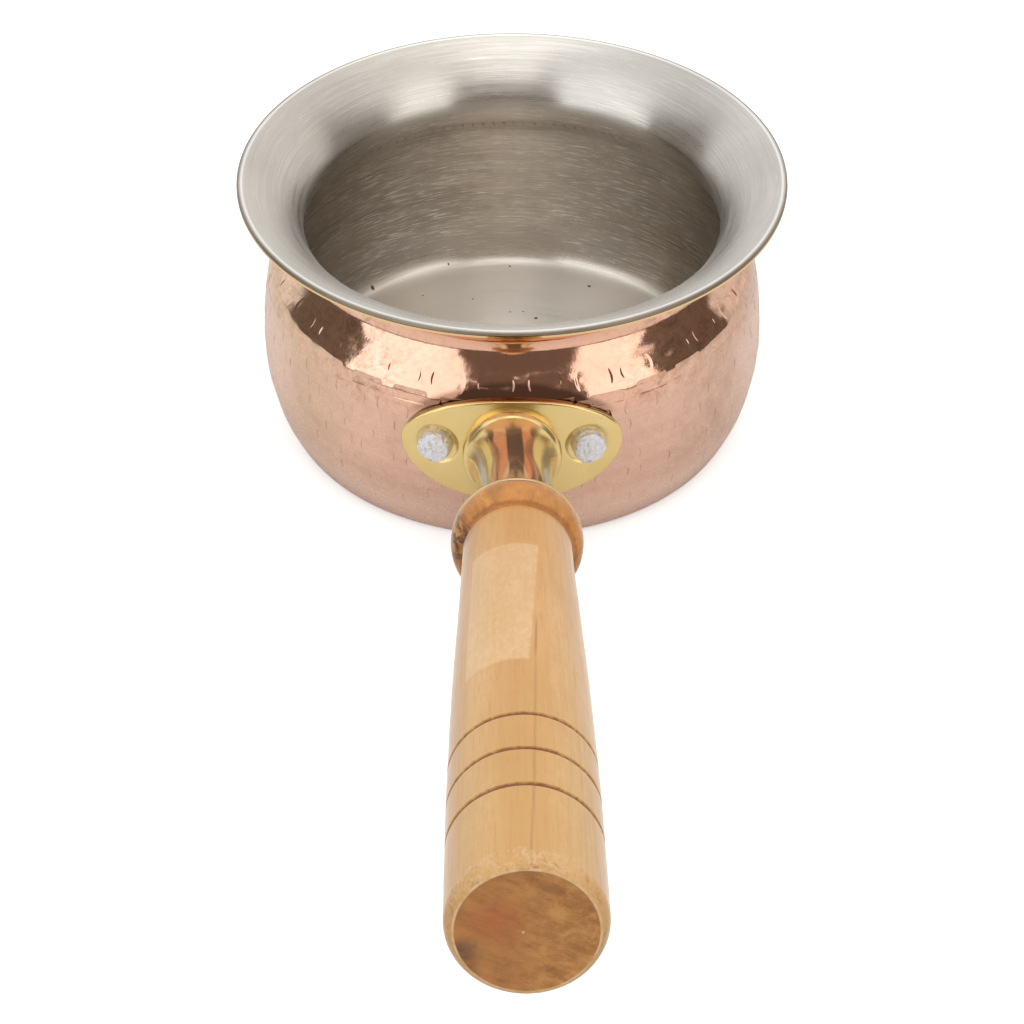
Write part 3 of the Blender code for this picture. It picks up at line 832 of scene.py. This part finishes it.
def make_plate():
    """The front from its middle outwards, the bevel, the side, and the back to the middle."""
    profile = [(share, PLATE_FRONT) for share in np.linspace(0.02, 0.94, 64)]
    for a in np.linspace(0, math.pi / 2, 6):
        inward, back = 1 - math.sin(a), 1 - math.cos(a)
        profile.append((1 - PLATE_BEVEL / 0.0165 * inward, PLATE_FRONT - PLATE_BEVEL * back))
    profile += [(1.0, 0.0006), (1.0, 0.00035), (0.97, 0.0003), (0.6, 0.0003), (0.05, 0.0003)]
    turned = np.arange(PLATE_COLUMNS) / PLATE_COLUMNS * 2 * math.pi
    c, s = np.cos(turned), np.sin(turned)
    # Not quite an ellipse, and lower above its middle than below.
    across = np.sign(s) * np.abs(s) ** PLATE_POWER
    upward = np.sign(c) * np.abs(c) ** PLATE_POWER
    rings = []
    for share, lift in profile:
        side = PLATE_WIDTH * share * across
        height = PLATE_MIDDLE + PLATE_HEIGHT * share * upward * np.where(c > 0, 0.915, 1)
        # The metal dips a little around each rivet.
        apart = np.hypot(np.abs(side) - RIVET_SIDE, height - RIVET_HEIGHT)
        dip = 0.00045 * smooth(0.0047, 0.0036, apart) * (lift > 0.002)
        rings.append(on_wall(-side, height, lift - dip))
    piece = revolved("mount_plate", np.array(rings), sharp=40)
    shares, lifts = np.array(profile).T
    # Painted shade: the plate's side next to the copper is darker.
    rim = smooth(0.0019, 0.0013, lifts) * (shares > 0.9)
    store(piece, "rim", np.repeat(rim, PLATE_COLUMNS))
    look = brass_look("satin_brass", *BRASS, 0.19, 0.4, rim=(0.34, 0.21, 0.07))
    finish_piece(piece, look, "brass_mount_plate")


def make_tube():
    """Socket tube with a collar at its foot that fairs into it."""
    radius, foot, front = 0.0078, 0.0104, 0.0050
    shoulder = (foot - 0.0008, front + 0.0009)
    outline = np.vstack([
        [(0.0030, 0.0393), (0.0060, 0.0393), (radius - 0.0004, 0.0393)],
        [(radius - 0.0001, 0.03915), (radius, 0.0388)],
        [(radius, q) for q in np.linspace(0.0370, 0.0200, 12)],
        bezier((radius, 0.0190), (radius, 0.0125), (radius + 0.0006, front + 0.0030), shoulder, 26),
        bezier(
            shoulder, (foot - 0.0003, front + 0.0005), (foot, front - 0.0001),
            (foot, front - 0.0009), 8,
        ),
        [(foot, 0.0030), (foot, 0.0012), (0.0060, 0.0012), (0.0060, 0.0300)],
        [(0.0032, 0.0300), (0.0032, 0.0392)],
    ])
    rings = turn_end_on(outline, 128)
    # The foot follows the plate to the side, the end stays on the handle's line.
    rings[..., 0] += np.sin(MOUNT_TURN) * 0.0560 * smooth(0.026, 0.004, rings[..., 2])
    piece = revolved("socket_tube", rings, place=handle_line, closed=True, sharp=40)
    look = brass_look("polished_brass", *BRASS, 0.17, 0.2, tube=(0.55, 0.41, 0.25))
    finish_piece(piece, look, "brass_ferrule_tube")


def make_washer():
    low, high = FACE - 0.0012, FACE - 0.0003
    outline = np.array([
        (STUD_BORE, high), (0.0080, high), (0.01255, high), (0.01272, high - 0.00005),
        (0.01280, high - 0.0002), (0.01280, low + 0.0002), (0.01272, low + 0.00005),
        (0.01255, low), (0.0080, low), (STUD_BORE, low),
    ])
    rings = turn_end_on(outline, 128)
    piece = revolved("washer", rings, place=handle_line, closed=True, sharp=50)
    # Painted highlight: the washer's outer edge is lighter than its faces.
    store(piece, "rim", smooth(0.0122, 0.01265, np.hypot(rings[..., 0], rings[..., 1])))
    base, tint = (0.50, 0.37, 0.18), (0.58, 0.43, 0.22)
    look = brass_look("washer_brass", base, tint, 0.3, 0.3, rim=(0.74, 0.56, 0.29))
    finish_piece(piece, look, "brass_washer")


def rivet_place(side):
    heights = np.array((RIVET_HEIGHT, RIVET_HEIGHT + 0.003, RIVET_HEIGHT - 0.003))
    radius, above, below = np.interp(-heights, -LOWER[:, 1], LOWER[:, 0]).tolist()
    lean = math.atan2(below - above, 0.006)
    return (
        Matrix.Rotation(RIVET_ANGLE * side + MOUNT_TURN, 4, "Z")
        @ Matrix.Translation((0, -radius, RIVET_HEIGHT))
        @ Euler((math.pi / 2 - lean, 0, 0)).to_matrix().to_4x4()
    )


def make_rivet(name, node, side, look, seed):
    seat = PLATE_FRONT
    tail = seat + 0.0025
    outline = np.vstack([
        [(0.0003, tail), (0.0008, tail - 0.00002), (0.0014, tail - 0.00005)],
        [(0.0020, tail - 0.0001), (0.0026, tail - 0.00017)],
        bezier(
            (0.0028, tail - 0.0002), (0.0032, tail - 0.0003), (0.00348, tail - 0.0006),
            (0.0035, tail - 0.0012), 8,
        ),
        [(0.0035, q) for q in np.linspace(tail - 0.0014, seat - 0.0005, 8)],
        [(0.0024, seat - 0.0005), (0.0024, -0.0016), (0.0044, -0.0016), (0.0044, -0.0020)],
        [(0.0042, -0.0024), (0.0036, -0.0029), (0.0026, -0.0033), (0.0013, -0.0035)],
        [(0.0003, -0.00355)],
    ])
    columns = 72
    turned = (np.arange(columns) / columns)[None]
    v = np.linspace(0, 1, len(outline))[:, None]
    bruise = ripple(turned, v, 9, 9, seed) * 0.00010 + ripple(turned, v, 22, 22, seed + 1) * 0.00005
    bruise = bruise * smooth(0.0, 0.0006, outline[:, 1] - seat + 0.0004)[:, None]
    share = np.minimum(outline[:, :1] / 0.003, 1)
    rings = turn_end_on(outline, columns, bruise * share, bruise * 1.2)
    piece = revolved(name, rings, place=rivet_place(side), sharp=60)
    finish_piece(piece, look, node)


# ---------------------------------------------------------------- the wooden handle

def grip_radius(q):
    share = np.clip((q - GRIP_START) / (HANDLE_END - 0.018 - GRIP_START), 0, 1)
    return NECK_RADIUS + (GRIP_RADIUS - NECK_RADIUS) * np.sin(share * math.pi / 2) ** 1.15


def make_handle():
    stop = HANDLE_END - 0.0026
    end_radius = 0.0112
    end = [
        (radius, HANDLE_END - 0.00012)
        for radius in (0.0004, 0.0012, 0.0025, 0.0045, 0.0065, 0.0085, 0.0100, 0.0109)
    ]
    tip = bezier(
        (end_radius, HANDLE_END), (end_radius + 0.0008, HANDLE_END),
        (GRIP_RADIUS, stop + 0.0012), (GRIP_RADIUS, stop), 14,
    )
    reaches = np.unique(np.round(np.r_[
        np.linspace(stop - 0.0006, GRIP_START + 0.0008, 150),
        np.concatenate([np.linspace(g - 0.0009, g + 0.0009, 19) for g in GROOVES]),
    ], 6))[::-1]
    grip = np.c_[grip_radius(reaches), reaches]
    for groove in GROOVES:
        grip[:, 0] -= GROOVE_DEPTH * np.exp(-(((reaches - groove) / 0.00046) ** 4))
    neck = (NECK_RADIUS, GRIP_START + 0.0002)
    flange = bezier(
        neck, (0.0125, GRIP_START - 0.0005), (FLANGE_RADIUS, FACE + 0.0042),
        (FLANGE_RADIUS, FACE + 0.0017), 18,
    )
    face_and_bore = [
        (0.01292, FACE + 0.0008), (0.0128, FACE + 0.0003), (0.0126, FACE + 0.0001),
        (0.0122, FACE), (0.0080, FACE), (STUD_BORE, FACE), (STUD_BORE, 0.0780), (0.0010, 0.0790),
    ]
    outline = np.vstack([
        end, (end_radius - 0.00005, HANDLE_END - 0.00002), tip, grip, neck, flange, face_and_bore,
    ])
    columns = 160
    turned = (np.arange(columns) / columns)[None]
    v = np.clip(outline[:, 1:] / HANDLE_END, 0, 1)
    uneven = ripple(turned, v, 7, 14, 31) * 0.00005 + ripple(turned, v, 26, 60, 32) * 0.000016
    outer = outline[:, 0] > 0.0095
    outer[-len(face_and_bore):] = False
    outer = outer[:, None]
    toward_top = np.abs(np.mod(turned * 360 + 12, 360) - 180) / 180
    chipped = ripple(turned, v, 80, 400, 33) * 0.00012 * smooth(0.1652, 0.1675, outline[:, 1:])
    chipped = chipped * outer * smooth(0.55, 0.9, toward_top)
    rings = turn_end_on(outline, columns, (uneven + chipped) * outer)
    piece = revolved("turned_handle", rings, place=handle_line, sharp=55)
    finish_piece(piece, wood_look(), "wooden_handle")


# ---------------------------------------------------------------- studio

def make_floor():
    """A round table top just under the pot, white to the camera."""
    columns, drop = 64, -0.0002
    angle = np.arange(columns) / columns * 2 * math.pi
    radii = (0.1, 0.3, 0.8, 2.0, 5.0)
    rings = [
        np.c_[r * np.sin(angle), -r * np.cos(angle), np.full(columns, drop)] for r in radii
    ]
    j = np.arange(columns)
    n = (j + 1) % columns
    quads = [
        np.c_[i + j, i + columns + j, i + columns + n, i + n]
        for i in np.arange(len(radii) - 1) * columns
    ]
    middle = len(radii) * columns
    floor = mesh_object(
        "studio_floor", np.vstack([*rings, (0, 0, drop)]), np.vstack(quads),
        np.c_[np.full(columns, middle), j, n],
    )
    look = Look("white_table", metallic=0.0, Roughness=0.7, Specular_IOR_Level=0.1)
    cloud = look.noise(look.object_place(), 2.0, 2)
    tone = look.mix(cloud.step(0.2, 0.8), (0.66, 0.66, 0.66), (0.68, 0.68, 0.68))
    glow = look.camera_ray() * 0.5
    look.fill(look.shader, Base_Color=tone, Emission_Color=(1, 1, 1), Emission_Strength=glow)
    floor.data.materials.append(look.material)


def make_studio():
    """Light from panels all round, as the metal shows them, and a plain backdrop for the camera."""
    world = bpy.data.worlds.new("studio")
    bpy.context.scene.world = world
    world.use_nodes = True
    sky = Graph(world.node_tree)
    x, y, z = sky.output("TexCoord", socket="Generated").split()
    height = sky.math("ARCSINE", z) * (180 / math.pi)
    turned = sky.degrees(x, y * -1)
    away = abs(turned)
    # Overhead, the light reaches lower at the sides than in front.
    low_edge = away.step(28, 45, 52, 31)
    high_edge = low_edge + away.step(28, 45, 3.5, 7)
    top = height.step(low_edge, high_edge) * z.step(0.84, 0.92, 1.02, 0.85)
    # A brighter strip runs through its middle.
    strip = x.step(-0.2, -0.16) * x.step(0.32, 0.2) * z.step(0.79, 0.82) * 1.85
    back = (turned.step(104, 112) | turned.step(-113, -121)) * 0.96
    left = turned.within(-77, -26, 1.5) * height.within(2, 60, 2) * 1.5
    right = turned.within(32, 66, 1.5) * height.within(2, 60, 2) * 1.5
    light = top | (back | strip) | (left | right)
    light = light | 0.17
    white = sky.mix(x.step(-0.35, 0.35), (0.985, 0.995, 0.995), (1.0, 0.97, 0.93))
    colour = sky.mix(light.step(0.2, 0.6), (1.0, 0.8, 0.66), white)
    seen = sky.camera_ray()
    studio = sky.output("Background", colour, light)
    plain = sky.output("Background", (0.93, 0.93, 0.93), 1.0)
    shown = sky.output("MixShader", seen, studio, plain)
    sky.node("OutputWorld", shown)


def make_fill():
    """A broad soft lamp that lifts the table and the wood, and isn't seen in the metal."""
    lamp = bpy.data.lights.new("soft_fill", "AREA")
    lamp.shape = "DISK"
    lamp.size = 1.6
    lamp.energy = 9
    lamp.color = (1.0, 0.98, 0.95)
    fill = bpy.data.objects.new("soft_fill", lamp)
    fill.location = (0.1, -0.5, 1.5)
    fill.rotation_euler = Vector((-0.1, 0.45, -1.5)).to_track_quat("-Z", "Y").to_euler()
    fill.visible_glossy = False
    bpy.context.scene.collection.objects.link(fill)


def make_camera():
    """The photo's view, from the end of the handle and above."""
    camera = bpy.data.cameras.new("photo_view")
    camera.lens = 91.4
    camera.sensor_width = 36
    camera.clip_start = 0.02
    camera.clip_end = 50
    turned, pitch = math.radians(-0.6), math.radians(40.193)
    distance, height = 0.4818, 0.3708
    out = Vector((math.sin(turned), -math.cos(turned), 0))
    seat = bpy.data.objects.new("photo_view", camera)
    seat.location = (out.x * distance, out.y * distance, height)
    ahead = out * -math.cos(pitch) - Vector((0, 0, math.sin(pitch)))
    seat.rotation_euler = ahead.to_track_quat("-Z", "Y").to_euler()
    bpy.context.scene.collection.objects.link(seat)
    bpy.context.scene.camera = seat


make_copper()
make_liner()
make_plate()
make_tube()
make_washer()
rivet_metal = rivet_look()
make_rivet("rivet_left_hammered", "rivet_left", -1, rivet_metal, 41)
make_rivet("rivet_right_hammered", "rivet_right", 1, rivet_metal, 51)
make_handle()
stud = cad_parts["handle_stud"]
stud.data.materials.clear()
stud.data.materials.append(zinc_look())

make_floor()
make_studio()
make_fill()
make_camera()
bpy.context.scene.view_settings.view_transform = "Standard"
